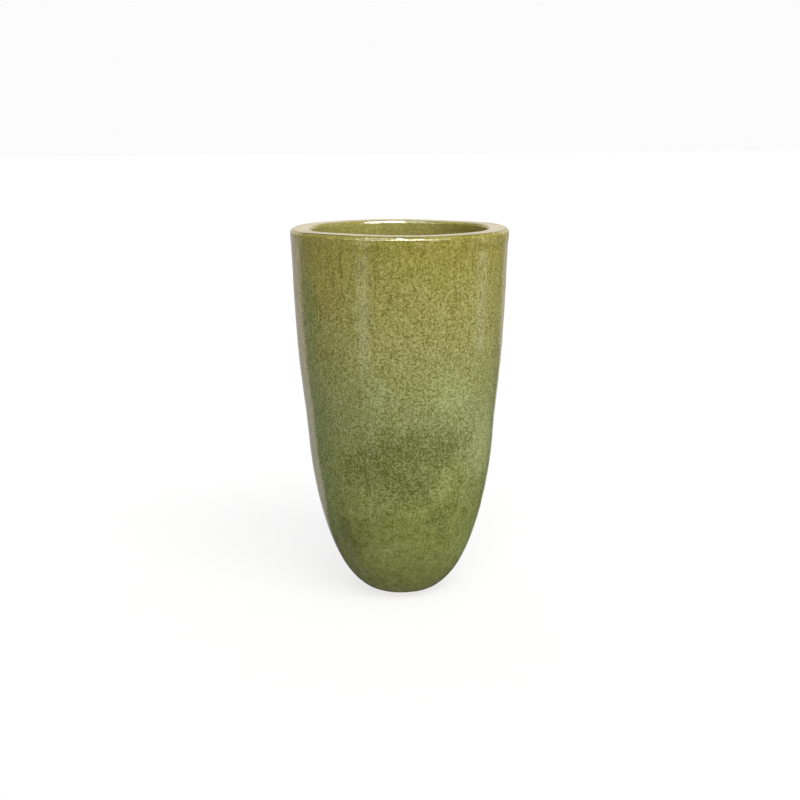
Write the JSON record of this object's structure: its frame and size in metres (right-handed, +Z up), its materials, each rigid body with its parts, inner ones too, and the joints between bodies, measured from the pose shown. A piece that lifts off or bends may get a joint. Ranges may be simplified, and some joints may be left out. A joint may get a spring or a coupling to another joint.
{
  "type": "glazed terracotta pot",
  "caption": "Tall round glazed terracotta planter with a flat thick rim and a narrow foot, with a drain plug, a drain mesh and floor pads.",
  "frame": {"origin": "on the ground under the middle of the foot, at the underside of the floor pads", "axes": "+Z up along the pot's axis, from the foot to the rim; +X towards the plug's pull tongue"},
  "size_m": [0.38, 0.38, 0.66],
  "materials": {
    "terracotta": "matte",
    "glaze": "gloss",
    "plug_rubber": "matte",
    "mesh_plastic": "satin",
    "pad_felt": "matte"
  },
  "bodies": {
    "pot": {"clay_body": "terracotta", "glaze_coat": "glaze", "floor_pad_1": "pad_felt", "floor_pad_2": "pad_felt", "floor_pad_3": "pad_felt", "floor_pad_4": "pad_felt"},
    "plug": {"drain_plug": "plug_rubber"},
    "mesh": {"drain_mesh": "mesh_plastic"}
  },
  "joints": [
    {"name": "plug_pull", "type": "slide", "parent": "pot", "child": "plug", "axis": [0, 0, -1], "range_m": [0, 0.06]},
    {"name": "mesh_lift", "type": "slide", "parent": "pot", "child": "mesh", "axis": [0, 0, 1], "range_m": [0, 0.72]}
  ]
}
